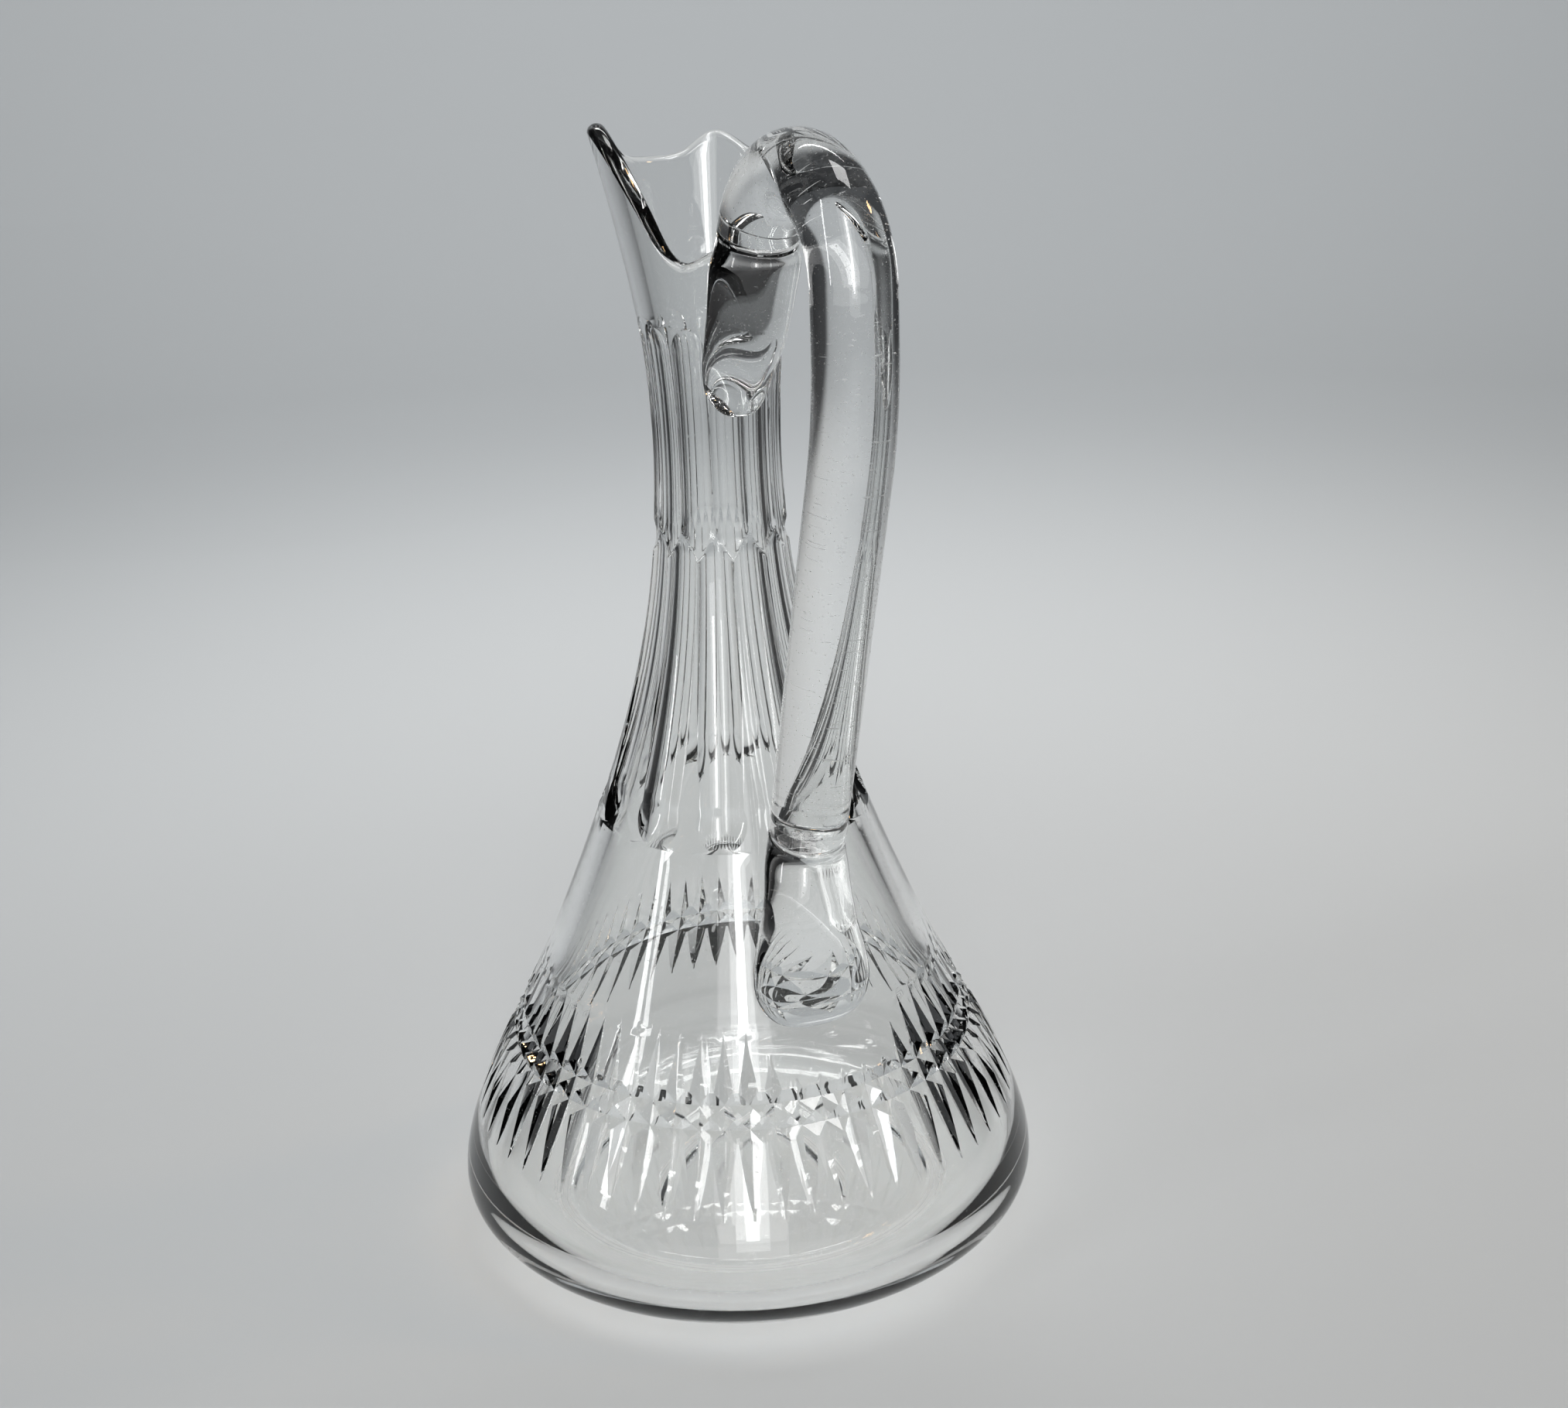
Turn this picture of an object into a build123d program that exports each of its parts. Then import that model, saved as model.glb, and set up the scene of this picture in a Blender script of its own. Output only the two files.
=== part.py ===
"""Cut-crystal handled carafe: one blown and cut body with an applied glass handle in three gathers.

All sizes are in millimetres. The origin is the centre of the ground base, +Z is up, and the
handle stands on +X. The body is a clear ogee bowl drawn into a long neck with a lobed lip.
"""

from build123d import *
import math
import os

# Body, outside meridian
WIDEST_RADIUS = 75.0
WIDEST_HEIGHT = 15.0
BASE_RADIUS = 52.0
CONE_RADIUS = 49.8
CONE_HEIGHT = 75.0
CONE_LEAN = 0.44
WAIST_RADIUS = 15.5
WAIST_HEIGHT = 205.0
MOUTH_RADIUS = 27.1
MOUTH_HEIGHT = 282.0
MOUTH_LEAN = 0.25
SHOULDER_REACH = 15.0
CONE_REACH_DOWN = 13.0
CONE_REACH_UP = 60.0
WAIST_REACH_DOWN = 35.5
WAIST_REACH_UP = 17.7
MOUTH_REACH = 45.0

# Body, inside
BOWL_WALL = 6.0
NECK_WALL = 4.0
LIP_WALL = 4.4
FLOOR_THICKNESS = 10.0
FLOOR_RADIUS = 46.0
HEEL_HEIGHT = 30.0
HEEL_LEAN = 0.31
HEEL_REACH_OUT = 12.0
HEEL_REACH_DOWN = 10.0
HEEL_REACH_UP = 12.0

# Lobed lip: height of the edge at each angle round the mouth, counted from the handle
LIP_EDGE = [
    (0.0, 256.5), (25.0, 255.0), (46.0, 254.5), (68.0, 261.0), (95.0, 273.0), (122.0, 272.0),
    (149.0, 276.5), (170.0, 272.0), (191.0, 271.5), (215.0, 273.0), (235.0, 278.0), (254.0, 281.5),
    (272.0, 277.0), (290.0, 265.5), (303.0, 255.5), (316.0, 251.5), (335.0, 253.5),
]
LIP_CROWN = 1.7
LIP_SECTIONS = 36
LIP_TRIM_INNER = 5.0
LIP_TRIM_OUTER = 37.0
LIP_TRIM_RISE = 60.0

# Two tiers of hollow flutes round the neck, set half a pitch apart
FLUTE_COUNT = 12
FLUTE_HOLLOW_RADIUS = 12.0
UPPER_FLUTE_STATIONS = [(187.0, 1.2), (207.0, 1.3), (229.5, 1.1)]
LOWER_FLUTE_STATIONS = [(123.0, 1.7), (152.0, 1.9), (182.5, 1.35)]

# Mitre band round the bowl: upright double-pointed cuts crossed by two ring cuts
MITRE_COUNT = 60
MITRE_DEPTH = 1.9
MITRE_LOWER_TIP = 33.8
MITRE_UPPER_TIP = 73.6
LOWER_RING_HEIGHT = 53.1
UPPER_RING_HEIGHT = 58.4
RING_DEPTH = 1.9
MITRE_SHORT_TIP = 63.0
MITRE_MIDDLE_TIP = 68.6
MITRE_CLEARANCE = 3.0

# Applied handle
ROD_DIAMETER = 18.6
SEAL_RADIUS = 41.6
SEAL_HEIGHT = 119.5
LOOP_RADIUS = 71.4
LOOP_BEND_HEIGHT = 241.0
LOOP_BEND_RADIUS = 114.0
ARCH_HEIGHT = 251.0
ARCH_RADIUS = 22.7
ARCH_ANGLE = 160.0
OVAL_POINTS = 12
WELD_GAP = 0.1
LAP_BOTTOM = 205.0
LAP_TOP = 257.6
LAP_STATIONS = 14

# Lower pad, (height, half width of the weld, half width, thickness off the body)
FOOT_SECTIONS = [
    (110.0, 3.0, 10.6, 16.0),
    (104.0, 3.5, 11.2, 14.6),
    (96.0, 4.5, 13.0, 11.6),
    (88.0, 9.0, 14.9, 8.4),
    (82.5, 11.0, 15.2, 6.6),
    (78.0, 11.4, 13.6, 4.6),
    (75.2, 9.4, 10.8, 2.8),
]
FOOT_DRIFT = -3.0
FOOT_DRIFT_HEIGHT = 96.0

# Upper tail, (height, half width of the weld, half width, thickness off the body)
TAIL_SECTIONS = [
    (250.0, 7.0, 10.6, 15.0),
    (242.0, 7.0, 10.1, 12.6),
    (236.0, 7.0, 9.6, 10.9),
    (228.0, 6.6, 8.8, 7.8),
    (221.5, 5.2, 6.9, 5.0),
    (217.5, 3.2, 4.4, 3.2),
    (215.6, 1.4, 2.2, 1.6),
]


def meridian():
    """Outside line of the blank from the widest point up to the mouth, as three Bezier edges."""
    bowl = Bezier(
        (WIDEST_RADIUS, WIDEST_HEIGHT),
        (WIDEST_RADIUS, WIDEST_HEIGHT + SHOULDER_REACH),
        (CONE_RADIUS + CONE_LEAN * CONE_REACH_DOWN, CONE_HEIGHT - CONE_REACH_DOWN),
        (CONE_RADIUS, CONE_HEIGHT),
    )
    neck = Bezier(
        (CONE_RADIUS, CONE_HEIGHT),
        (CONE_RADIUS - CONE_LEAN * CONE_REACH_UP, CONE_HEIGHT + CONE_REACH_UP),
        (WAIST_RADIUS, WAIST_HEIGHT - WAIST_REACH_DOWN),
        (WAIST_RADIUS, WAIST_HEIGHT),
    )
    flare = Bezier(
        (WAIST_RADIUS, WAIST_HEIGHT),
        (WAIST_RADIUS, WAIST_HEIGHT + WAIST_REACH_UP),
        (MOUTH_RADIUS - MOUTH_LEAN * MOUTH_REACH, MOUTH_HEIGHT - MOUTH_REACH),
        (MOUTH_RADIUS, MOUTH_HEIGHT),
    )
    return [bowl, neck, flare]


def blank_radius(height):
    """Outside radius of the blank at a height, read off the meridian."""
    for edge in meridian():
        low = edge.position_at(0).Y
        high = edge.position_at(1).Y
        if low <= height <= high:
            near, far = 0.0, 1.0
            for _ in range(40):
                middle = (near + far) / 2
                if edge.position_at(middle).Y < height:
                    near = middle
                else:
                    far = middle
            return edge.position_at(near).X
    return MOUTH_RADIUS + MOUTH_LEAN * (height - MOUTH_HEIGHT)


def turned(edges):
    """Solid of revolution about Z from a closed outline drawn as (radius, height)."""
    return revolve(Plane.XZ * make_face(edges), axis=Axis.Z)


def filled_blank():
    """The body's outside before any cut, solid through."""
    top = MOUTH_HEIGHT + LIP_WALL
    lip = (MOUTH_RADIUS + MOUTH_LEAN * LIP_WALL, top)
    heel_width = WIDEST_RADIUS - BASE_RADIUS
    base = [
        Line((0, 0), (BASE_RADIUS, 0)),
        EllipticalCenterArc(
            (BASE_RADIUS, WIDEST_HEIGHT), heel_width, WIDEST_HEIGHT, start_angle=270, arc_size=90
        ),
    ]
    cap = [
        Line((MOUTH_RADIUS, MOUTH_HEIGHT), lip),
        Line(lip, (0, top)),
        Line((0, top), (0, 0)),
    ]
    return turned(base + meridian() + cap)


def cavity():
    """The space inside the body, from the floor up through the neck and out of the mouth."""
    top = MOUTH_HEIGHT + 2 * LIP_WALL
    heel = blank_radius(HEEL_HEIGHT) - BOWL_WALL
    cone = CONE_RADIUS - BOWL_WALL
    waist = WAIST_RADIUS - NECK_WALL
    mouth = MOUTH_RADIUS - LIP_WALL
    lip = (mouth + MOUTH_LEAN * 2 * LIP_WALL, top)
    lines = [
        Line((0, FLOOR_THICKNESS), (FLOOR_RADIUS, FLOOR_THICKNESS)),
        Bezier(
            (FLOOR_RADIUS, FLOOR_THICKNESS),
            (FLOOR_RADIUS + HEEL_REACH_OUT, FLOOR_THICKNESS),
            (heel + HEEL_LEAN * HEEL_REACH_DOWN, HEEL_HEIGHT - HEEL_REACH_DOWN),
            (heel, HEEL_HEIGHT),
        ),
        Bezier(
            (heel, HEEL_HEIGHT),
            (heel - HEEL_LEAN * HEEL_REACH_UP, HEEL_HEIGHT + HEEL_REACH_UP),
            (cone + CONE_LEAN * CONE_REACH_DOWN, CONE_HEIGHT - CONE_REACH_DOWN),
            (cone, CONE_HEIGHT),
        ),
        Bezier(
            (cone, CONE_HEIGHT),
            (cone - CONE_LEAN * CONE_REACH_UP, CONE_HEIGHT + CONE_REACH_UP),
            (waist, WAIST_HEIGHT - WAIST_REACH_DOWN),
            (waist, WAIST_HEIGHT),
        ),
        Bezier(
            (waist, WAIST_HEIGHT),
            (waist, WAIST_HEIGHT + WAIST_REACH_UP),
            (mouth - MOUTH_LEAN * MOUTH_REACH, MOUTH_HEIGHT - MOUTH_REACH),
            (mouth, MOUTH_HEIGHT),
        ),
        Line((mouth, MOUTH_HEIGHT), lip),
        Line(lip, (0, top)),
        Line((0, top), (0, FLOOR_THICKNESS)),
    ]
    return turned(lines)


def mitre_wheel(upper_tip):
    """V-shaped cutter on +X that leaves one double-pointed cut, deepest between the two rings."""
    stations = [
        (MITRE_LOWER_TIP, 0.0),
        (LOWER_RING_HEIGHT, MITRE_DEPTH),
        (UPPER_RING_HEIGHT, MITRE_DEPTH),
        (upper_tip, 0.0),
    ]
    low = Vector(blank_radius(MITRE_LOWER_TIP), 0, MITRE_LOWER_TIP)
    high = Vector(blank_radius(MITRE_UPPER_TIP), 0, MITRE_UPPER_TIP)
    along = (high - low).normalized()
    outward = Vector(along.Z, 0, -along.X)
    ring_radius = blank_radius((LOWER_RING_HEIGHT + UPPER_RING_HEIGHT) / 2)
    opening = math.pi * ring_radius / MITRE_COUNT / MITRE_DEPTH
    valley = []
    for height, depth in stations:
        point = Vector(blank_radius(height), 0, height) - outward * depth - low
        valley.append((point.dot(along), point.dot(outward)))
    for end, inner in ((0, 1), (-1, -2)):
        rise = (valley[end][1] - valley[inner][1]) / (valley[end][0] - valley[inner][0])
        run = (MITRE_CLEARANCE - valley[end][1]) / rise * 0.999
        valley[end] = (valley[end][0] + run, valley[end][1] + run * rise)
    rings = []
    for run, depth in valley:
        half = (MITRE_CLEARANCE - depth) * opening
        bottom = low + along * run + outward * depth
        top = low + along * run + outward * MITRE_CLEARANCE
        rings.append([bottom, top + Vector(0, half, 0), top - Vector(0, half, 0)])
    faces = [Face(Wire.make_polygon(rings[0])), Face(Wire.make_polygon(rings[-1]))]
    for here, after in zip(rings, rings[1:]):
        for i in range(3):
            j = (i + 1) % 3
            faces.append(Face(Wire.make_polygon([here[i], here[j], after[j], after[i]])))
    return Solid(Shell(faces))


def ring_cut(height):
    """Revolved V cut round the bowl, square to its slope."""
    step = 1.0
    slope = (blank_radius(height + step) - blank_radius(height - step)) / (2 * step)
    along = Vector(slope, 1).normalized()
    outward = Vector(along.Y, -along.X)
    foot = Vector(blank_radius(height), height)
    spacing = (UPPER_RING_HEIGHT - LOWER_RING_HEIGHT) / along.Y
    half = spacing / 2 * (RING_DEPTH + MITRE_CLEARANCE) / RING_DEPTH
    bottom = foot - outward * RING_DEPTH
    top = foot + outward * MITRE_CLEARANCE
    corners = [bottom, top + along * half, top - along * half]
    return turned([Line(corners[i], corners[(i + 1) % 3]) for i in range(3)])


def flute_wheel(stations):
    """Round-edged cutter on +X: a bent round bar with ball ends that leaves one hollow flute."""
    points = []
    for height, depth in stations:
        points.append((blank_radius(height) - depth + FLUTE_HOLLOW_RADIUS, 0, height))
    path = ThreePointArc(*points)
    bar = sweep(Plane(path @ 0, z_dir=path % 0) * Circle(FLUTE_HOLLOW_RADIUS), path)
    ends = [Pos(*points[i]) * Sphere(FLUTE_HOLLOW_RADIUS) for i in (0, -1)]
    return bar + ends


def lip_height(angle):
    """Height of the lip's edge at an angle in degrees: smooth steps between the listed angles."""
    angle = angle % 360
    stations = LIP_EDGE + [(360.0, LIP_EDGE[0][1])]
    count = len(LIP_EDGE)
    for i in range(count):
        (a, low), (b, high) = stations[i], stations[i + 1]
        if a <= angle <= b:
            before = LIP_EDGE[i - 1]
            after = LIP_EDGE[(i + 2) % count]
            last = before[0] - (360 if i == 0 else 0)
            next_angle = after[0] + (360 if i + 2 >= count else 0)
            slope_a = (high - before[1]) / (b - last)
            slope_b = (after[1] - low) / (next_angle - a)
            t = (angle - a) / (b - a)
            width = b - a
            return (
                (2 * t**3 - 3 * t**2 + 1) * low
                + (t**3 - 2 * t**2 + t) * width * slope_a
                + (3 * t**2 - 2 * t**3) * high
                + (t**3 - t**2) * width * slope_b
            )
    return LIP_EDGE[0][1]


def lip_trim():
    """Everything above the lip: its underside is a wave whose ridge leaves the wall a rounded edge."""
    half = LIP_WALL / 2
    ridge = [(-2.0, 1.15), (-1.0, 1.0), (-0.6, 0.36), (0.0, 0.0), (0.6, 0.36), (1.0, 1.0), (2.0, 1.15)]
    hem = 1.25 * LIP_CROWN
    sections = []
    for i in range(LIP_SECTIONS):
        angle = 360 * i / LIP_SECTIONS
        top = lip_height(angle)
        middle = blank_radius(top - LIP_CROWN / 2) - half
        profile = [(LIP_TRIM_INNER, top - hem)]
        for side, fall in ridge:
            profile.append((middle + side * half, top - fall * LIP_CROWN))
        profile.append((LIP_TRIM_OUTER, top - hem))
        points = [Vector(radius, 0, height).rotate(Axis.Z, angle) for radius, height in profile]
        sections.append(Wire([Spline(*points)]))
    wave = Shell.make_loft(sections + sections[:1]).faces()[0]
    return Solid.extrude(wave, Vector(0, 0, LIP_TRIM_RISE))


def body():
    """The carafe itself: blank, cavity, trimmed lip, mitre band and flutes."""
    pitch = 360 / MITRE_COUNT
    full = mitre_wheel(MITRE_UPPER_TIP)
    short = mitre_wheel(MITRE_SHORT_TIP)
    middle = mitre_wheel(MITRE_MIDDLE_TIP)
    mitres = []
    for i in range(MITRE_COUNT):
        steps_from_handle = min(i, MITRE_COUNT - i)
        wheel = short if steps_from_handle < 3 else middle if steps_from_handle == 3 else full
        mitres.append(Rot(0, 0, i * pitch) * wheel)
    rings = [ring_cut(LOWER_RING_HEIGHT), ring_cut(UPPER_RING_HEIGHT)]
    pitch = 360 / FLUTE_COUNT
    lower = flute_wheel(LOWER_FLUTE_STATIONS)
    upper = flute_wheel(UPPER_FLUTE_STATIONS)
    lower_tier = [Rot(0, 0, i * pitch) * lower for i in range(FLUTE_COUNT)]
    upper_tier = [Rot(0, 0, (i + 0.5) * pitch) * upper for i in range(FLUTE_COUNT)]
    shape = filled_blank() - lip_trim() - cavity()
    for cuts in (mitres[::2], mitres[1::2], rings, lower_tier, upper_tier):
        shape = shape - cuts
    return largest(shape)


def loop_path():
    """Middle line of the handle's rod: leaning run, long bend, short rise and half-round arch."""
    bend_centre = Vector(LOOP_RADIUS - LOOP_BEND_RADIUS, LOOP_BEND_HEIGHT)
    seal = Vector(SEAL_RADIUS, SEAL_HEIGHT)
    reach = seal - bend_centre
    lean = math.acos(LOOP_BEND_RADIUS / reach.length) + math.atan2(reach.Y, reach.X)
    lean_end = bend_centre + Vector(math.cos(lean), math.sin(lean)) * LOOP_BEND_RADIUS
    bend_end = Vector(LOOP_RADIUS, LOOP_BEND_HEIGHT)
    rise_end = Vector(LOOP_RADIUS, ARCH_HEIGHT)
    arch_centre = (LOOP_RADIUS - ARCH_RADIUS, ARCH_HEIGHT)
    runs = [
        Line(seal, lean_end),
        TangentArc(lean_end, bend_end, tangent=lean_end - seal),
        Line(bend_end, rise_end),
        CenterArc(arch_centre, ARCH_RADIUS, start_angle=0, arc_size=ARCH_ANGLE),
    ]
    return Plane.XZ * Wire(runs)


def rod_end(path, place):
    """Round end of the rod as a circle, its start turned away from the body."""
    forward = path % place
    if forward.Z < 0:
        forward = -forward
    outward = Vector(forward.Z, 0, -forward.X)
    section = Plane(path @ place, x_dir=outward, z_dir=forward) * Circle(ROD_DIAMETER / 2)
    return section.wire()


def bent_oval(height, weld, half_width, thickness, drift):
    """Level oval bent round the axis: it stands off the body by its thickness, and cuts it over the weld."""
    body_radius = blank_radius(height)
    half_thickness = thickness / (1 + math.sqrt(1 - (weld / half_width) ** 2))
    middle = body_radius + thickness - half_thickness
    points = []
    for i in range(OVAL_POINTS):
        turn = 2 * math.pi * i / OVAL_POINTS
        radius = middle + half_thickness * math.cos(turn)
        angle = math.radians(drift) + half_width / middle * math.sin(turn)
        points.append((radius * math.cos(angle), radius * math.sin(angle), height))
    return Wire([Spline(*points, periodic=True)])


def largest(shape):
    """The biggest solid of a cut shape, without the slivers cut off behind a wall."""
    return max(shape.solids(), key=lambda solid: solid.volume)


def handle_rod(path):
    """Round rod of the handle, square at the lower seal and cut off where the arch meets the neck."""
    return sweep(Face(rod_end(path, 0)), path)


def gather(end, sections, drifts, carafe):
    """Pad of glass that runs from the rod's end onto the body, and touches the body all over its weld."""
    ovals = [bent_oval(*section, drift) for section, drift in zip(sections, drifts)]
    return largest(Solid.make_loft([end] + ovals) - carafe)


def handle_foot(path, carafe):
    """Lower pad, set a little off the handle's plane as the gather was laid on by hand."""
    run = SEAL_HEIGHT - FOOT_DRIFT_HEIGHT
    drifts = []
    for section in FOOT_SECTIONS:
        drifts.append(FOOT_DRIFT * min(1.0, (SEAL_HEIGHT - section[0]) / run))
    return gather(rod_end(path, 0), FOOT_SECTIONS, drifts, carafe)


def lapped_neck():
    """The neck that the tail lies on, solid up to just above the lip and a hair larger than it is."""
    step = (LAP_TOP - LAP_BOTTOM) / (LAP_STATIONS - 1)
    heights = [LAP_BOTTOM + i * step for i in range(LAP_STATIONS)]
    side = [(blank_radius(height) + WELD_GAP, height) for height in heights]
    top = Line(side[-1], (0, LAP_TOP))
    axis = Line((0, LAP_TOP), (0, LAP_BOTTOM))
    bottom = Line((0, LAP_BOTTOM), side[0])
    return turned([Spline(*side), top, axis, bottom])


def handle_tail(path):
    """Upper gather: it laps over the lip and runs down the outside of the neck as a thinning tail."""
    return gather(rod_end(path, 1), TAIL_SECTIONS, [0.0] * len(TAIL_SECTIONS), lapped_neck())


if __name__ == "__main__":
    os.makedirs("parts", exist_ok=True)
    carafe = body()
    path = loop_path()
    export_step(carafe, "parts/carafe_body.step")
    export_step(handle_rod(path), "parts/handle_rod.step")
    export_step(handle_foot(path, carafe), "parts/handle_foot.step")
    export_step(handle_tail(path), "parts/handle_tail.step")
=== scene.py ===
import math

import bmesh
import bpy
import numpy as np
from mathutils import Matrix, Vector


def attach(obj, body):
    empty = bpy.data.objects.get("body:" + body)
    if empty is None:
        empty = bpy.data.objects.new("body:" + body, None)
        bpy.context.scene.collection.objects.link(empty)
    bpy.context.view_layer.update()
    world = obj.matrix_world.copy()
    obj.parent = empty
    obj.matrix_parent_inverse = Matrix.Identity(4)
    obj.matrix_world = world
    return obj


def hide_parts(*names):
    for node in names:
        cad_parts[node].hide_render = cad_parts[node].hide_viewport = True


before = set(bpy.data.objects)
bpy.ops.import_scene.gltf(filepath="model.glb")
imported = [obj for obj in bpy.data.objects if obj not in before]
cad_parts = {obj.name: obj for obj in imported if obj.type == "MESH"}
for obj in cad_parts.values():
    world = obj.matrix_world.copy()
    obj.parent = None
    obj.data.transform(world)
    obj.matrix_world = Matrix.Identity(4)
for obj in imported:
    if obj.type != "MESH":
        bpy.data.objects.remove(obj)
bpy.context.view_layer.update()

# The body: one thick-walled bubble of clear crystal, blown, flattened on its base and drawn up
# into a neck. Its mitre band and flutes were cut on wheels and polished, its lip was sheared hot.
# Lengths are in millimetres until they reach a mesh, and angles are counted from the handle.
MM = 0.001
MERGED = 0.001 * MM
BODY_COLUMNS = 360
columns = np.arange(float(BODY_COLUMNS))
STRETCH_POINTS = 400


def bent_line(points):
    """Points along one bent stretch of a drawn outline, from its two ends and its two handles."""
    a, b, c, d = np.array(points, float)
    t = np.linspace(0, 1, STRETCH_POINTS)[:, None]
    return (1 - t) ** 3 * a + 3 * (1 - t) ** 2 * t * b + 3 * (1 - t) * t ** 2 * c + t ** 3 * d


HEEL_MIDDLE, HEEL_WIDTH, HEEL_HEIGHT = 52, 23, 15


def heel(turn):
    """Radius and height on the rounded heel at angles from its widest level."""
    return HEEL_MIDDLE + HEEL_WIDTH * np.cos(turn), HEEL_HEIGHT + HEEL_HEIGHT * np.sin(turn)


# Both outlines, as (radius, height), run on past the lip, which is trimmed further down
outline = np.vstack([
    np.column_stack(heel(np.radians(np.linspace(-90, 0, 200)))),
    bent_line([(75, 15), (75, 30), (55.52, 62), (49.8, 75)]),
    bent_line([(49.8, 75), (23.4, 135), (15.5, 169.5), (15.5, 205)]),
    bent_line([(15.5, 205), (15.5, 222.7), (15.85, 237), (27.1, 282)]),
    [(30.1, 294)],
])
bore = np.vstack([
    bent_line([(56, 7), (66.5, 7), (70.6, 12.5), (70.2, 22)]),
    bent_line([(70.2, 22), (69.6, 34), (49.7, 61.6), (43.8, 75)]),
    bent_line([(43.8, 75), (17.4, 135), (11.5, 169.5), (11.5, 205)]),
    bent_line([(11.5, 205), (11.5, 222.7), (11.45, 237), (22.7, 282)]),
    [(25.7, 294)],
])


def outside(height):
    return np.interp(height, outline[:, 1], outline[:, 0])


def inside(height):
    return np.interp(height, bore[:, 1], bore[:, 0])


def slope(height):
    """Lean of the bowl's wall at a height, from upright."""
    return np.arctan(outside(height - 0.5) - outside(height + 0.5))


def smooth_steps(stations, at):
    """Value between listed stations, passing through each without a kink."""
    stations = np.array(stations, float)
    place, value = stations[:, 0], stations[:, 1]
    lean = np.gradient(value, place)
    i = np.clip(np.searchsorted(place, at, side="right") - 1, 0, len(place) - 2)
    width = place[i + 1] - place[i]
    t = np.clip((at - place[i]) / width, 0, 1)
    return (
        (2 * t ** 3 - 3 * t ** 2 + 1) * value[i] + (t ** 3 - 2 * t ** 2 + t) * width * lean[i]
        + (3 * t ** 2 - 2 * t ** 3) * value[i + 1] + (t ** 3 - t ** 2) * width * lean[i + 1]
    )


# Two tiers of twelve hollow flutes, half a pitch apart: (height, depth) along the path of a wheel
# with a round edge
FLUTE_EDGE = 12.0
FLUTE_PITCH = 30
RIDGE = FLUTE_PITCH / 2
LEAST_EDGE, WIDEST_EDGE = 0.4, 14.85
FLUTES_FROM = 113
LOWER_TIER = [(123, 1.7), (152, 1.9), (182.5, 1.35)]
UPPER_TIER = [(187, 1.2), (207, 1.3), (229.5, 1.1)]
WAIST = (181, 188.6)


def wheel(tier, height):
    """Distance of the wheel's edge centre from the axis at a height, and the edge's reach there."""
    stations = np.array(tier, float)
    path = np.polyfit(stations[:, 0], outside(stations[:, 0]) - stations[:, 1] + FLUTE_EDGE, 2)
    level = np.clip(height, stations[0, 0], stations[-1, 0])
    reach = FLUTE_EDGE ** 2 - (height - level) ** 2
    return np.polyval(path, level), math.sqrt(reach) if reach > 0 else 0.0


def hollow(tier, height, turn):
    """Radius of the flute at angles from its middle, or far out where the wheel misses."""
    centre, reach = wheel(tier, height)
    under = reach ** 2 - (centre * np.sin(turn)) ** 2
    cut = centre * np.cos(turn) - np.sqrt(np.maximum(under, 0))
    return np.where(under > 0, cut, 1000.0)


def flute_columns(tier, height, first):
    """Columns drawn to the edges of the flutes, so that each ridge between two flutes is crisp."""
    centre, reach = wheel(tier, height)
    radius = outside(height)
    edge = 0.0
    if reach > 0 and centre - reach < radius:
        share = (radius ** 2 + centre ** 2 - reach ** 2) / (2 * radius * centre)
        edge = math.degrees(math.acos(min(1.0, share)))
    if edge < LEAST_EDGE:
        return columns
    edge = min(edge, WIDEST_EDGE)
    stops = [0, 13, 14, 15, 16, 17, FLUTE_PITCH]
    angles = [
        0, edge, (edge + RIDGE) / 2, RIDGE, (3 * RIDGE - edge) / 2, FLUTE_PITCH - edge, FLUTE_PITCH,
    ]
    sector, place = np.divmod(columns - first, FLUTE_PITCH)
    return sector * FLUTE_PITCH + np.interp(place, stops, angles) + first


def glass_radius(height, angles):
    """Outside radius of the neck with both tiers of flutes cut."""
    lower = hollow(LOWER_TIER, height, np.radians((angles + RIDGE) % FLUTE_PITCH - RIDGE))
    upper = hollow(UPPER_TIER, height, np.radians(angles % FLUTE_PITCH - RIDGE))
    return np.minimum(outside(height), np.minimum(lower, upper))


# Mitre band: 60 upright double-pointed cuts, shorter under the handle, crossed by two ring cuts
CUTS = 60
CUT_PITCH = 6
CUT_DEPTH = 1.9
LOWER_TIP = 33.8
UPPER_TIP = 73.6
TIP_UNDER_FOOT, TIP_BESIDE_FOOT = 63.0, 68.6
RING_LEVELS = (53.1, 58.4)
RING_HALF = 2.65
LEAST_SPREAD, WIDEST_SPREAD = 0.3, 2.94
from_handle = np.minimum(np.arange(CUTS), CUTS - np.arange(CUTS))
upper_tips = np.where(from_handle == 3, TIP_BESIDE_FOOT, UPPER_TIP)
upper_tips = np.where(from_handle < 3, TIP_UNDER_FOOT, upper_tips)


def valley_depth(height):
    """Depth of the bottom of each mitre cut: straight from its tip to the nearer ring cut."""
    if RING_LEVELS[0] <= height <= RING_LEVELS[1]:
        return np.full(CUTS, CUT_DEPTH)
    below = height < RING_LEVELS[0]
    ring = RING_LEVELS[0] if below else RING_LEVELS[1]
    tip = LOWER_TIP if below else upper_tips
    ring_radius = outside(ring) - CUT_DEPTH * np.cos(slope(ring))
    ring_height = ring - CUT_DEPTH * np.sin(slope(ring))
    run = outside(tip) - ring_radius
    chord = ring_radius + run * (height - ring_height) / (tip - ring_height)
    bottom = (outside(height) - chord) * np.cos(slope(height))
    between = (height > LOWER_TIP) & (height < upper_tips)
    return np.where(between, np.clip(bottom, 0, CUT_DEPTH), 0.0)


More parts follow.
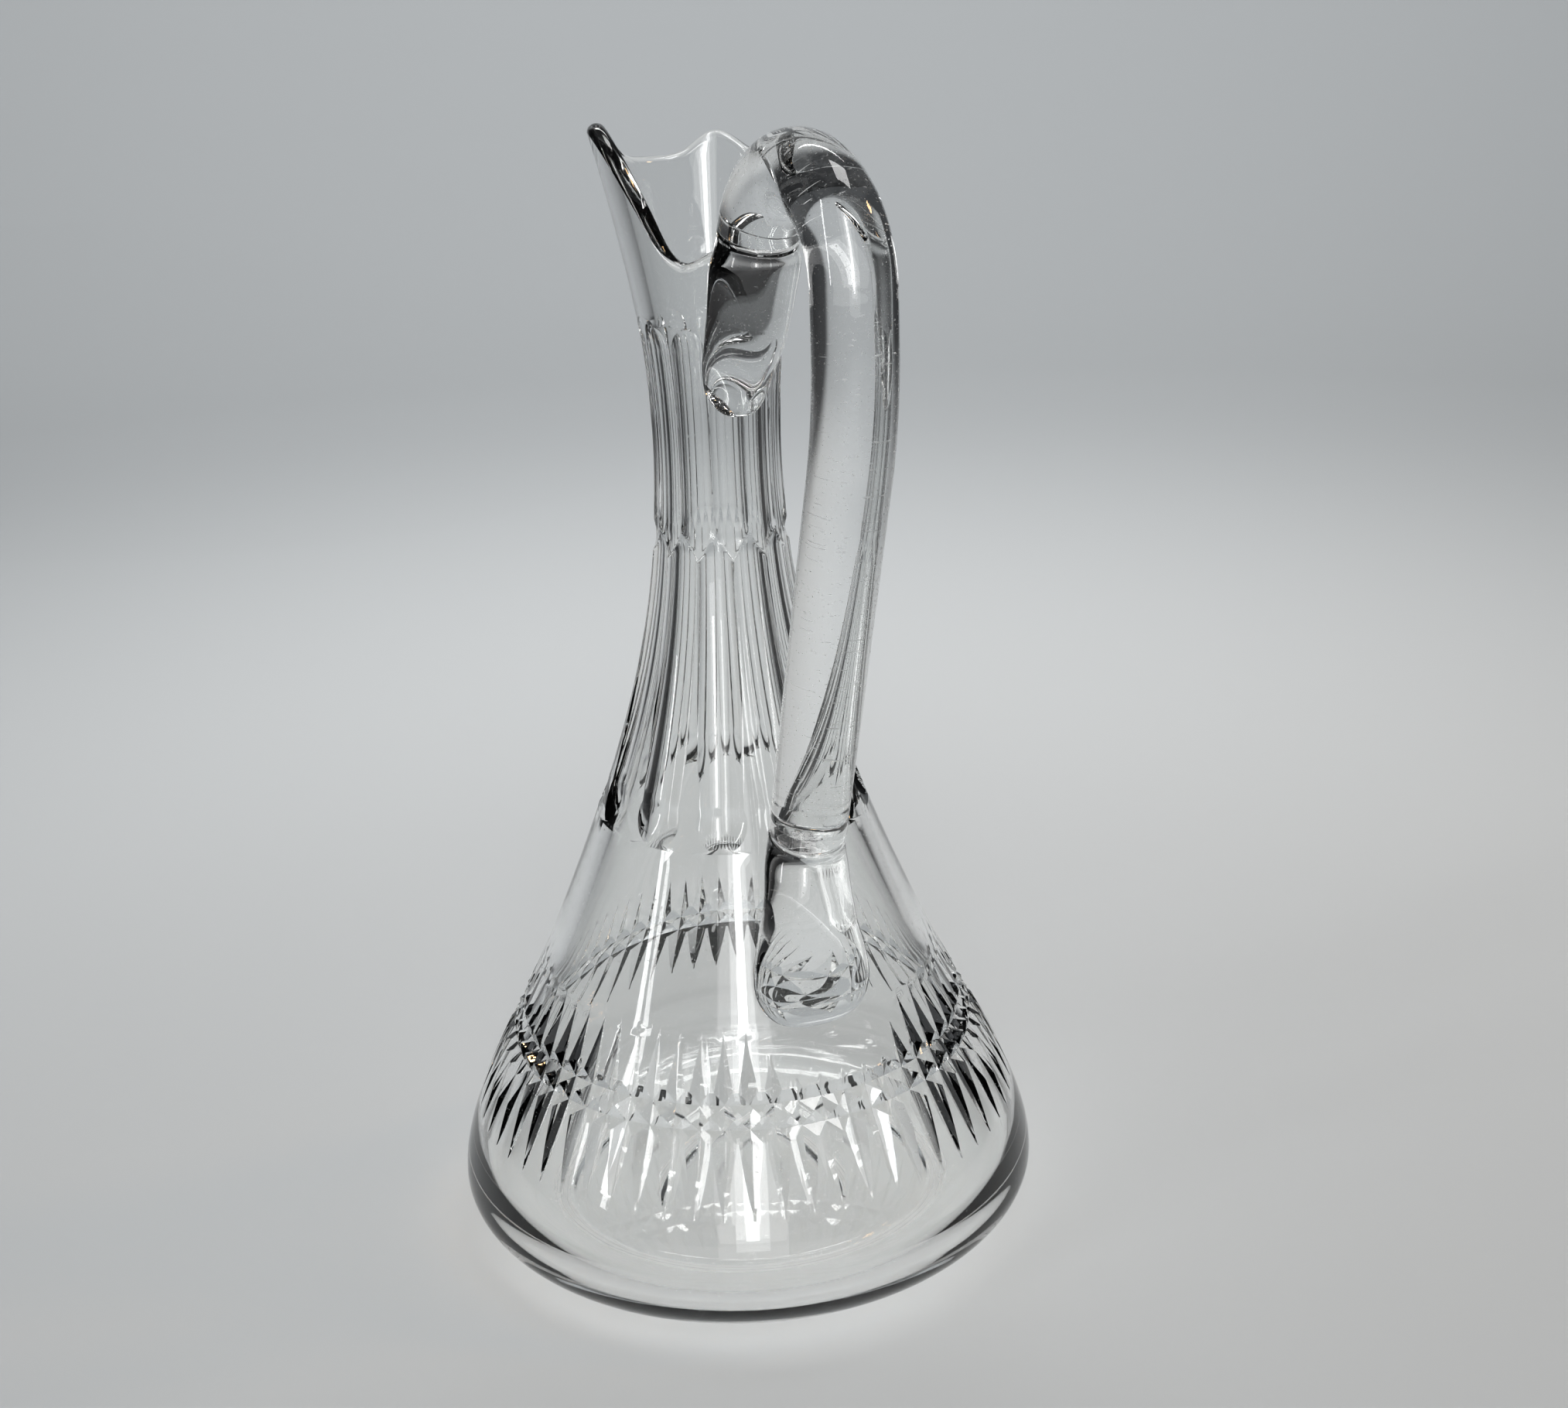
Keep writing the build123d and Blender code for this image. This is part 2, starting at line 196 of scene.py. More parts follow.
def mitre_row(height):
    """Column angles and cut depths at one level of the mitre band."""
    valley = valley_depth(height)
    ring = CUT_DEPTH * max(0.0, *[1 - abs(height - level) / RING_HALF for level in RING_LEVELS])
    widest = CUT_PITCH / 2 * outside(sum(RING_LEVELS) / 2) / outside(height)
    spread = np.minimum(widest * valley / CUT_DEPTH, WIDEST_SPREAD)
    meet = spread * np.clip((valley - ring) / np.maximum(valley, 0.001), 0, 1)
    cut = (valley > 0) | (height == LOWER_TIP) | (height == upper_tips)
    edge = np.where(cut, np.maximum(spread, LEAST_SPREAD), CUT_PITCH / 3)
    folds = (meet > LEAST_SPREAD) & (meet < edge - LEAST_SPREAD)
    fold = np.where(folds, meet, edge / 2)
    side = valley * (1 - fold / np.maximum(spread, 0.001))
    middle = float(CUT_PITCH) * np.arange(CUTS)
    angles = columns.copy()
    angles[1::6] = middle + fold
    angles[2::6] = middle + edge
    angles[4::6] = middle + CUT_PITCH - np.roll(edge, -1)
    angles[5::6] = middle + CUT_PITCH - np.roll(fold, -1)
    depths = np.full(BODY_COLUMNS, ring)
    depths[0::6] = np.maximum(valley, ring)
    depths[1::6] = np.maximum(side, ring)
    depths[5::6] = np.roll(np.maximum(side, ring), -1)
    return angles, depths


# Lip: (angle, height) of its edge
LIP_EDGE = [
    (0, 256.5), (25, 255), (46, 254.5), (68, 261), (95, 273), (122, 272), (149, 276.5), (170, 272),
    (191, 271.5), (215, 273), (235, 278), (254, 281.5), (272, 277), (290, 265.5), (303, 255.5),
    (316, 251.5), (335, 253.5),
]
LIP_ROUNDING = 2.0


def lip_height(angles):
    """Height of the lip's edge at angles round the mouth."""
    stations = np.array(LIP_EDGE, float)
    wide = np.vstack([stations[-2:] - (360, 0), stations, stations[:3] + (360, 0)])
    return smooth_steps(wide, np.asarray(angles, float) % 360)


def laid(radius, height, angles):
    """One row of points round the axis."""
    turn = np.radians(angles)
    radius = np.broadcast_to(radius, turn.shape)
    height = np.broadcast_to(height, turn.shape)
    return np.column_stack([radius * np.cos(turn), radius * np.sin(turn), height])


CLEAR_OF_BAND = 300.0
body_rows = []
row_levels = []
row_cuts = []


def add_row(radius, height, angles=columns, level=CLEAR_OF_BAND, cut=0.0):
    """The next row of the body, with its level and the depths of its cuts if it is in the band."""
    body_rows.append(laid(radius, height, angles))
    row_levels.append(level)
    row_cuts.append(np.broadcast_to(cut, BODY_COLUMNS))


# Under the base: the raised middle, the step down to the ground rim, and the rim it stands on
UNDERSIDE = [
    (0, 2.2), (12, 2.15), (24, 2.0), (30.5, 1.8), (31.5, 1.72), (32.5, 1.55), (34, 1.45),
    (40, 1.25), (44, 1.0), (45.2, 0.85), (46, 0.62), (46.7, 0.34), (47.4, 0.1), (48.2, 0),
    (50, 0), (51.6, 0),
]
for radius, height in UNDERSIDE:
    add_row(radius, height)
for turn in np.radians(np.linspace(-90, -4, 16)):
    add_row(*heel(turn))

# Up the outside, with rows where the cuts begin, cross and end
levels = np.concatenate([
    np.linspace(15, 32.6, 8), np.linspace(LOWER_TIP, 50.45, 12),
    [51.775, 53.1, 54.425, 55.75, 57.075, 58.4, 59.725],
    [61.05, 62.0, 63.0, 64.4, 65.8, 67.2, 68.6, 69.8, 71.0, 72.3, 73.6, 74.5, 75.5],
    np.arange(77, 113, 3.0), np.arange(113, 125, 0.9), np.arange(126, 181, 4.2),
    np.arange(181.2, 188.7, 0.6),
    np.arange(190, 214, 3.0), np.arange(214, 229.5, 1.3), np.arange(229.5, 238.2, 0.65),
])
for level in levels:
    if LOWER_TIP <= level <= UPPER_TIP:
        angles, cut = mitre_row(level)
        lean = slope(level)
        add_row(outside(level) - cut * np.cos(lean), level - cut * np.sin(lean), angles, level, cut)
    elif level >= FLUTES_FROM:
        angles = columns
        if level < WAIST[0]:
            angles = flute_columns(LOWER_TIER, level, 0)
        elif level > WAIST[1]:
            angles = flute_columns(UPPER_TIER, level, RIDGE)
        add_row(glass_radius(level, angles), level, angles, level)
    else:
        add_row(outside(level), level, level=level)

# Over the rounded lip, down the inside and across the floor
NECK_TOP = levels[-1]
lip = lip_height(columns) - LIP_ROUNDING
lip_middle = (outside(lip) + inside(lip)) / 2
lip_half = (outside(lip) - inside(lip)) / 2
for share in np.linspace(0, 1, 19)[1:]:
    height = NECK_TOP + share * (lip - NECK_TOP)
    add_row(outside(height), height)
for turn in np.radians(np.linspace(0, 180, 15)[1:-1]):
    add_row(lip_middle + lip_half * np.cos(turn), lip + LIP_ROUNDING * np.sin(turn))
for share in np.linspace(1, 0, 12):
    height = NECK_TOP + share * (lip - NECK_TOP)
    add_row(inside(height), height)
for level in np.concatenate([np.arange(232, 60, -6.5), np.arange(60, 23, -3.0)]):
    add_row(inside(level), level)
for stop in range(STRETCH_POINTS - 1, -1, -28):
    add_row(bore[stop, 0], bore[stop, 1])
for radius in (46, 34, 22, 11, 0):
    add_row(radius, bore[0, 1])


def spun_shell(name, points):
    """A chain of vertices spun all round, whose rows and columns are then laid on these points."""
    rows, turns = points.shape[:2]
    bpy.ops.object.select_all(action="DESELECT")
    bpy.ops.mesh.primitive_circle_add(vertices=rows, radius=0.01)
    piece = bpy.context.object
    piece.name = name
    piece.data.name = name
    for i, vertex in enumerate(piece.data.vertices):
        vertex.co = (0.01, 0, i * MM)
    bpy.ops.object.mode_set(mode="EDIT")
    shell = bmesh.from_edit_mesh(piece.data)
    closing = [e for e in shell.edges if abs(e.verts[0].index - e.verts[1].index) > 1]
    bmesh.ops.delete(shell, geom=closing, context="EDGES")
    bmesh.update_edit_mesh(piece.data)
    bpy.ops.mesh.select_all(action="SELECT")
    bpy.ops.mesh.spin(steps=turns, angle=math.tau, center=(0, 0, 0), axis=(0, 0, 1))
    bpy.ops.mesh.select_all(action="SELECT")
    bpy.ops.mesh.remove_doubles(threshold=MERGED)
    bpy.ops.object.mode_set(mode="OBJECT")
    mesh = piece.data
    spun = np.zeros(len(mesh.vertices) * 3, np.float32)
    mesh.vertices.foreach_get("co", spun)
    spun = spun.reshape(-1, 3)
    row = np.rint(spun[:, 2] / MM).astype(int)
    column = np.rint(np.arctan2(spun[:, 1], spun[:, 0]) / math.tau * turns).astype(int) % turns
    mesh.vertices.foreach_set("co", (points[row, column] * MM).astype(np.float32).ravel())
    mesh.update()
    return piece, row, column


def closed_up(piece, sharp):
    """Merges the poles, points every face outwards and smooths all but the crisp edges."""
    bpy.ops.object.select_all(action="DESELECT")
    piece.select_set(True)
    bpy.context.view_layer.objects.active = piece
    bpy.ops.object.mode_set(mode="EDIT")
    bpy.ops.mesh.select_all(action="SELECT")
    bpy.ops.mesh.remove_doubles(threshold=MERGED)
    bpy.ops.mesh.dissolve_degenerate(threshold=MERGED / 10)
    bpy.ops.mesh.normals_make_consistent(inside=False)
    bpy.ops.object.mode_set(mode="OBJECT")
    bpy.ops.object.shade_smooth_by_angle(angle=math.radians(sharp))


# Material slots of the body. The third only marks faces while the handle is fused on.
SKIN, FUSED, STAMPED, WHEEL_CUT = range(4)
BODY_SHARP = 18
BAND_TOP = 74
RINGS_FROM, RINGS_TO = 50, 61.5
body, body_row, body_column = spun_shell("crystal_body", np.array(body_rows))
depth_of = np.array(row_cuts)[body_row, body_column]
level_of = np.array(row_levels)[body_row]

# The quads of the ring cuts are folded along the ridges of their small pyramids
folded = bmesh.new()
folded.from_mesh(body.data)
folded.verts.ensure_lookup_table()
for face in list(folded.faces):
    corners = list(face.verts)
    at = [v.index for v in corners]
    corner_levels = level_of[at]
    depths = depth_of[at]
    if corner_levels.max() < BAND_TOP and depths.max() > 0:
        face.material_index = WHEEL_CUT
    if len(corners) == 4 and corner_levels.min() > RINGS_FROM and corner_levels.max() < RINGS_TO:
        one_way = abs(depths[0] - depths[2]) > abs(depths[1] - depths[3])
        first, second = (0, 2) if one_way else (1, 3)
        bmesh.utils.face_split(face, corners[first], corners[second])
folded.to_mesh(body.data)
folded.free()
closed_up(body, BODY_SHARP)


# Polished glass is never quite even: it keeps soft waves from the blowing and pinpricks of dust.
# Each crystal material uses this group with its own waves and dust, grain from the wheel in the
# cuts, and wear on the ring that the carafe stands on.
def polished_glass_group():
    group = bpy.data.node_groups.new("polished glass", "ShaderNodeTree")
    for name in ("Wave Size", "Wave Height", "Dust", "Grain", "Wear"):
        group.interface.new_socket(name=name, in_out="INPUT", socket_type="NodeSocketFloat")
    group.interface.new_socket(name="Roughness", in_out="OUTPUT", socket_type="NodeSocketFloat")
    group.interface.new_socket(name="Normal", in_out="OUTPUT", socket_type="NodeSocketVector")
    nodes = group.nodes
    link = group.links.new
    given = nodes.new("NodeGroupInput")
    out = nodes.new("NodeGroupOutput")
    place = nodes.new("ShaderNodeTexCoord")

    def reckon(operation, first, second):
        """Result of one sum, whose second value is a socket or a plain number."""
        step = nodes.new("ShaderNodeMath")
        step.operation = operation
        link(first, step.inputs[0])
        if isinstance(second, float):
            step.inputs[1].default_value = second
        else:
            link(second, step.inputs[1])
        return step.outputs["Value"]

    waves = nodes.new("ShaderNodeTexNoise")
    waves.inputs["Detail"].default_value = 1.0
    link(place.outputs["Object"], waves.inputs["Vector"])
    link(given.outputs["Wave Size"], waves.inputs["Scale"])
    bump = nodes.new("ShaderNodeBump")
    bump.inputs["Distance"].default_value = 0.001
    link(given.outputs["Wave Height"], bump.inputs["Strength"])
    link(waves.outputs["Fac"], bump.inputs["Height"])
    specks = nodes.new("ShaderNodeTexNoise")
    specks.inputs["Scale"].default_value = 1400.0
    specks.inputs["Detail"].default_value = 2.0
    link(place.outputs["Object"], specks.inputs["Vector"])
    pick = nodes.new("ShaderNodeMapRange")
    pick.inputs["From Min"].default_value = 0.65
    pick.inputs["From Max"].default_value = 0.72
    link(specks.outputs["Fac"], pick.inputs["Value"])
    dust = reckon("MULTIPLY", pick.outputs["Result"], given.outputs["Dust"])

    # The grain that the wheel leaves runs up and down in the cuts
    upright = nodes.new("ShaderNodeMapping")
    upright.inputs["Scale"].default_value = (1.0, 1.0, 0.05)
    link(place.outputs["Object"], upright.inputs["Vector"])
    streaks = nodes.new("ShaderNodeTexNoise")
    streaks.inputs["Scale"].default_value = 1800.0
    link(upright.outputs["Vector"], streaks.inputs["Vector"])
    grain = reckon("MULTIPLY", streaks.outputs["Fac"], given.outputs["Grain"])

    # The wear is a ring of fine round scratches, only on what touches the table
    flat = nodes.new("ShaderNodeVectorMath")
    flat.operation = "MULTIPLY"
    flat.inputs[1].default_value = (1, 1, 0)
    link(place.outputs["Object"], flat.inputs[0])
    radius = nodes.new("ShaderNodeVectorMath")
    radius.operation = "LENGTH"
    link(flat.outputs["Vector"], radius.inputs[0])
    across = nodes.new("ShaderNodeMapRange")
    across.inputs["From Min"].default_value = 0.030
    across.inputs["From Max"].default_value = 0.055
    link(radius.outputs["Value"], across.inputs["Value"])
    rubbed = nodes.new("ShaderNodeValToRGB")
    for stop, tone in ((0.70, 0.0), (0.75, 1.0), (0.86, 1.0), (0.92, 0.0)):
        mark = rubbed.color_ramp.elements.new(stop)
        mark.color = (tone, tone, tone, 1)
    rubbed.color_ramp.elements[0].color = (0, 0, 0, 1)
    rubbed.color_ramp.elements[-1].color = (0, 0, 0, 1)
    link(across.outputs["Result"], rubbed.inputs["Fac"])
    scratches = nodes.new("ShaderNodeTexNoise")
    scratches.noise_dimensions = "1D"
    scratches.inputs["Scale"].default_value = 2600.0
    link(radius.outputs["Value"], scratches.inputs["W"])
    parts = nodes.new("ShaderNodeSeparateXYZ")
    link(place.outputs["Object"], parts.inputs["Vector"])
    standing = reckon("LESS_THAN", parts.outputs["Z"], 0.0004)
    wear = reckon("MULTIPLY", rubbed.outputs["Color"], scratches.outputs["Fac"])
    wear = reckon("MULTIPLY", wear, standing)
    wear = reckon("MULTIPLY", wear, given.outputs["Wear"])
    link(reckon("ADD", reckon("ADD", dust, grain), wear), out.inputs["Roughness"])
    link(bump.outputs["Normal"], out.inputs["Normal"])
    return group


polished_glass = polished_glass_group()


def crystal(name, wave_size, wave_height, dust, grain=0.0, wear=0.0):
    """Clear lead crystal. The lamps' light passes it thinned but unbent, so it lights the floor."""
    material = bpy.data.materials.new(name)
    material.use_nodes = True
    nodes = material.node_tree.nodes
    link = material.node_tree.links.new
    shader = nodes["Principled BSDF"]
    shader.inputs["Base Color"].default_value = (0.985, 0.99, 0.985, 1)
    shader.inputs["Transmission Weight"].default_value = 1.0
    shader.inputs["IOR"].default_value = 1.53
    surface = nodes.new("ShaderNodeGroup")
    surface.node_tree = polished_glass
    for socket, value in zip(surface.inputs, (wave_size, wave_height, dust, grain, wear)):
        socket.default_value = value
    link(surface.outputs["Roughness"], shader.inputs["Roughness"])
    link(surface.outputs["Normal"], shader.inputs["Normal"])
    path = nodes.new("ShaderNodeLightPath")
    lamp_light = nodes.new("ShaderNodeBsdfTransparent")
    lamp_light.inputs["Color"].default_value = (0.75, 0.75, 0.75, 1)
    mix = nodes.new("ShaderNodeMixShader")
    link(path.outputs["Is Shadow Ray"], mix.inputs["Fac"])
    link(shader.outputs["BSDF"], mix.inputs[1])
    link(lamp_light.outputs["BSDF"], mix.inputs[2])
    link(mix.outputs["Shader"], nodes["Material Output"].inputs["Surface"])
    return material


body_crystal = crystal("body crystal", 22.0, 0.06, 0.25, wear=0.9)
cut_crystal = crystal("wheel-cut crystal", 22.0, 0.06, 0.25, grain=0.28)
# Where two pieces are fused there is one glass and no surface between them
fused_glass = bpy.data.materials.new("fused glass")
fused_glass.use_nodes = True
fused_shader = fused_glass.node_tree.nodes["Principled BSDF"]
fused_shader.inputs["Alpha"].default_value = 0.0
fused_shader.inputs["Specular IOR Level"].default_value = 0.0
for material in (body_crystal, fused_glass, fused_glass, cut_crystal):
    body.data.materials.append(material)
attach(body, "root")
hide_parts("carafe_body")

# The handle's rod: a hot rod of crystal, sealed to the foot, drawn up, bent and folded over to
# the lip. A faint groove and a rounded end show where it was cracked off, just above the foot.
ROD = 9.3
ROD_TURNS = 72
SEAL = Vector((41.6, 0, 119.5))
LEAN = math.radians(15.74)
along = Vector((math.sin(LEAN), 0, math.cos(LEAN)))
END_RUN = [
    0, 0.1, 0.25, 0.45, 0.7, 1.0, 1.6, 2.4, 3.0, 3.4, 3.8, 4.1, 4.4, 4.7, 5.0, 5.4, 6.0, 7.0, 8.5,
    10.11,
]
END_ROUNDING = 0.9
GROOVE_RISE, GROOVE_WIDTH, GROOVE_DEPTH = 4.4, 0.7, 0.12
DRESSED_RISE, DRESSED_REACH = 8, 14
BEND_PIVOT = (-42.6, 241)
UPRIGHT_RUN = 10
ARCH_PIVOT = (48.7, 251)
ARCH_TURN = math.radians(160)
ROD_SHARP = 40
bpy.ops.object.select_all(action="DESELECT")
bpy.ops.mesh.primitive_circle_add(
    vertices=ROD_TURNS, radius=ROD * MM, fill_type="NGON", location=SEAL * MM, rotation=(0, LEAN, 0)
)
rod = bpy.context.object
rod.name = "crystal_rod"
rod.data.name = "crystal_rod"
bpy.ops.object.transform_apply(location=True, rotation=True, scale=True)

# The leaning run, the bend to upright, a short upright run, and the arch over to the lip
bpy.ops.object.mode_set(mode="EDIT")
bpy.ops.mesh.select_all(action="SELECT")
run = END_RUN + list(np.arange(14.11, 95, 4))
for here, after in zip(run, run[1:]):
    bpy.ops.mesh.extrude_region_move(TRANSFORM_OT_translate={"value": along * (after - here) * MM})
pivot = (BEND_PIVOT[0] * MM, 0, BEND_PIVOT[1] * MM)
bpy.ops.mesh.spin(steps=16, angle=LEAN, center=pivot, axis=(0, 1, 0))
for step in range(3):
    bpy.ops.mesh.extrude_region_move(TRANSFORM_OT_translate={"value": (0, 0, UPRIGHT_RUN / 3 * MM)})
pivot = (ARCH_PIVOT[0] * MM, 0, ARCH_PIVOT[1] * MM)
bpy.ops.mesh.spin(steps=64, angle=ARCH_TURN, center=pivot, axis=(0, 1, 0))
bpy.ops.object.mode_set(mode="OBJECT")
for vertex in rod.data.vertices:
    place = vertex.co / MM - SEAL
    rise = place.dot(along)
    if rise < DRESSED_RISE and place.length < DRESSED_REACH:
        rounding = 1 - math.sqrt(max(0, 1 - (1 - min(rise, 1)) ** 2)) if rise < 1 else 0
        groove = GROOVE_DEPTH * math.exp(-(((rise - GROOVE_RISE) / GROOVE_WIDTH) ** 2))
        narrowed = 1 - (END_ROUNDING * rounding + groove) / ROD
        vertex.co = (SEAL + along * rise + (place - along * rise) * narrowed) * MM
for face in rod.data.polygons:
    if len(face.vertices) == ROD_TURNS:
        face.material_index = FUSED
closed_up(rod, ROD_SHARP)
rod.data.materials.append(crystal("rod crystal", 30.0, 0.08, 0.6))
rod.data.materials.append(fused_glass)
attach(rod, "root")
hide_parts("handle_rod")

# The handle's foot: the lower gather, a soft drop of the same crystal, pressed hot onto the bowl.
# The rod is sealed to its top, and its tip was drawn down and a little to one side.
# Each level has (height, half width of the fused weld, half width, thickness).
FOOT = [
    (73.3, 2.0, 2.3, 0.35), (73.7, 5.2, 5.8, 1.0), (74.3, 7.3, 8.2, 1.7), (75.2, 9.2, 10.4, 2.6),
    (76.5, 10.6, 12.1, 3.6), (78, 11.4, 13.4, 4.6), (80.5, 11.7, 14.6, 5.9), (83, 11.4, 15.2, 6.8),
    (86, 10.3, 15.1, 7.8), (89, 8.4, 14.8, 8.8), (92, 5.6, 14.1, 9.9), (94.5, 3.0, 13.4, 11.0),
    (96, 1.6, 13.0, 11.6), (98, 1.1, 12.6, 12.4), (104, 1.0, 11.2, 14.6), (112, 1.0, 10.4, 16.4),
]
ARC_POINTS = 81
CHORD_POINTS = 15
BURIED = 0.8
FLOW_STEPS = 22
TIP_DROP, TIP_SUNK = 0.05, 0.2
PAD_SHARP = 50
pad_crystal = crystal("gather crystal", 45.0, 0.12, 0.3)


def foot_drift(height):
    """Angle of the foot's middle line off the handle's plane."""
    return -3.0 * np.clip((SEAL.z - height) / 23.5, 0, 1)


def pad_ring(height, weld, half_width, thickness, drift):
    """Level ring round a pad: a bulging oval, closed by the weld's chord inside the body."""
    bulge = thickness / (1 + math.sqrt(max(0.0, 1 - (weld / half_width) ** 2)))
    middle = outside(height) + thickness - bulge
    last = math.acos(max(-1.0, -(thickness - bulge) / bulge))
    turn = np.linspace(-last, last, ARC_POINTS)
    radius = middle + bulge * np.cos(turn)
    angle = drift + np.degrees(half_width / radius * np.sin(turn))
    buried = BURIED * min(1.0, weld)
    sunk = outside(height) - glass_radius(height, angle[[0, -1]]) + buried
    share = np.abs(turn) / last
    radius = radius - np.where(turn < 0, sunk[0], sunk[1]) * share ** 8
    across = np.linspace(angle[-1], angle[0], CHORD_POINTS + 2)[1:-1]
    under = glass_radius(height, across) - buried
    return laid(np.append(radius, under), height, np.append(angle, across))


def rod_ring(centre, way, radius):
    """Ring round the rod's end, on the same points as a pad's ring."""
    out = np.array((way.z, 0, -way.x))
    side = np.array((0, 1, 0))
    round_it = np.linspace(-math.pi, math.pi, ARC_POINTS)
    turn = np.append(round_it, np.full(CHORD_POINTS, math.pi))[:, None]
    return np.array(centre) + radius * (np.cos(turn) * out + np.sin(turn) * side)


def drawn(first, first_way, last, last_way, steps):
    """Rings that flow from one ring to another, leaving and arriving along the two ways."""
    rings = []
    for t in np.linspace(0, 1, steps)[1:-1]:
        rings.append(
            (2 * t ** 3 - 3 * t ** 2 + 1) * first + (t ** 3 - 2 * t ** 2 + t) * first_way
            + (3 * t ** 2 - 2 * t ** 3) * last + (t ** 3 - t ** 2) * last_way
        )
    return rings


def pad(name, sizes, drift, levels, end, way, reach):
    """Pad from the rod's end to its tip. Its levels run down from where it meets the body."""
    rings = []
    for level in levels:
        row = [smooth_steps([(s[0], s[i]) for s in sizes], level) for i in (1, 2, 3)]
        rings.append(pad_ring(level, *row, drift(level)))
    disc = rod_ring(end, way, ROD - END_ROUNDING)
    shoulder = rod_ring(end - way, way, ROD)
    down = np.array(-way) * reach
    onwards = (rings[1] - rings[0]) / (levels[0] - levels[1]) * reach
    flow = drawn(shoulder, down, rings[0], onwards, FLOW_STEPS)
    rounding = []
    for turn in np.radians((20, 45, 70)):
        radius = ROD - END_ROUNDING + END_ROUNDING * math.sin(turn)
        rounding.append(rod_ring(end - way * (1 - math.cos(turn)), way, radius))
    tip_height = levels[-1] - TIP_DROP
    points = np.ones(ARC_POINTS + CHORD_POINTS)
    tip_radius = outside(tip_height) - TIP_SUNK
    tip = laid(tip_radius * points, tip_height, drift(tip_height) * points)
    centre = np.tile(np.array(end), (ARC_POINTS + CHORD_POINTS, 1))
    rows = np.array([centre, disc] + rounding + [shoulder] + flow + rings + [tip])
    piece, row, column = spun_shell(name, rows)
    for face in piece.data.polygons:
        face.material_index = FUSED if max(row[list(face.vertices)]) <= 1 else SKIN
    closed_up(piece, PAD_SHARP)
    piece.data.materials.append(pad_crystal)
    piece.data.materials.append(fused_glass)
    return piece


def twin(piece, slot):
    """A copy of a piece whose faces all carry one material slot."""
    copy = piece.copy()
    copy.data = piece.data.copy()
    bpy.context.scene.collection.objects.link(copy)
    slots = np.full(len(copy.data.polygons), slot, np.int32)
    copy.data.polygons.foreach_set("material_index", slots)
    return copy


def cut_with(piece, tool, operation):
    """Applies one closed piece of glass to another."""
    cut = piece.modifiers.new(operation, "BOOLEAN")
    cut.operation = operation
    cut.solver = "MANIFOLD"
    cut.object = tool
    bpy.ops.object.select_all(action="DESELECT")
    piece.select_set(True)
    bpy.context.view_layer.objects.active = piece
    bpy.ops.object.modifier_apply(modifier=operation)


def fuse(piece, end, way):
    """Sinks a pad into the body. Both get the very same fused faces where their glass meets."""
    stamp = twin(piece, STAMPED)
    mould = twin(body, FUSED)
    cut_with(piece, mould, "DIFFERENCE")
    cut_with(body, stamp, "UNION")

    # The fused faces of the pad, without the disc that it shares with the rod, turned round
    seam = bmesh.new()
    seam.from_mesh(piece.data)
    spare = []
    for face in seam.faces:
        on_disc = abs((face.calc_center_median() - end * MM).dot(way)) < 20 * MERGED
        if face.material_index != FUSED or on_disc:
            spare.append(face)
    bmesh.ops.delete(seam, geom=spare, context="FACES")
    bmesh.ops.reverse_faces(seam, faces=seam.faces)
    patch = bpy.data.meshes.new("patch")
    seam.to_mesh(patch)
    seam.free()

    # The body loses the stamp of the pad and is closed with them
    shell = bmesh.new()
    shell.from_mesh(body.data)
    stamped = [face for face in shell.faces if face.material_index == STAMPED]
    bmesh.ops.delete(shell, geom=stamped, context="FACES")
    shell.from_mesh(patch)
    bmesh.ops.remove_doubles(shell, verts=shell.verts, dist=MERGED)
    shell.to_mesh(body.data)
    shell.free()
    for used in (stamp.data, mould.data, patch):
        bpy.data.meshes.remove(used)
    closed_up(piece, PAD_SHARP)


foot_levels = np.concatenate([
    np.arange(110, 80, -1.0), np.arange(80, 75, -0.5), [74.75, 74.3, 74, 73.7, 73.5, 73.3],
])
foot = pad("crystal_foot", FOOT, foot_drift, foot_levels, SEAL, along, 9.0)
fuse(foot, SEAL, along)
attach(foot, "root")
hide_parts("handle_foot")

# The handle's tail: the upper gather of the same crystal, which holds the rod's upper end, laps
# over the lip and was drawn down the outside of the neck. It thins on its way and leans to one
# side. Each level has the same four sizes as the foot's.
TAIL = [
    (215.3, 0.2, 2.0, 0.9), (215.9, 0.3, 3.7, 1.8), (217, 0.5, 5.2, 2.8), (218.5, 0.9, 6.4, 3.7),
    (220, 1.7, 7.3, 4.4), (221.5, 3.0, 8.0, 5.0), (223.5, 4.4, 8.7, 5.9), (225.5, 5.3, 9.2, 6.8),
    (228, 6.2, 9.8, 7.8), (232, 7.0, 10.3, 9.5), (236, 7.0, 10.5, 10.9), (242, 7.0, 10.7, 12.6),
    (250, 7.0, 11.0, 15.0),
]
ARCH_END = Vector((27.369, 0, 258.764))
ARCH_LEAN = math.radians(20)
arch_way = Vector((math.sin(ARCH_LEAN), 0, math.cos(ARCH_LEAN)))


def tail_drift(height):
    """Angle of the tail's middle line off the handle's plane."""
    return -np.interp(height, [215.3, 218, 222, 226, 232, 240], [3.0, 5.0, 6.0, 4.5, 1.5, 0.0])


tail_levels = np.concatenate([
    np.arange(250, 221, -1.0), np.arange(221, 216, -0.5), [215.9, 215.7, 215.5, 215.3],
])
tail = pad("crystal_tail", TAIL, tail_drift, tail_levels, ARCH_END, arch_way, 8.0)
fuse(tail, ARCH_END, arch_way)
closed_up(body, BODY_SHARP)
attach(tail, "root")
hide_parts("handle_tail")

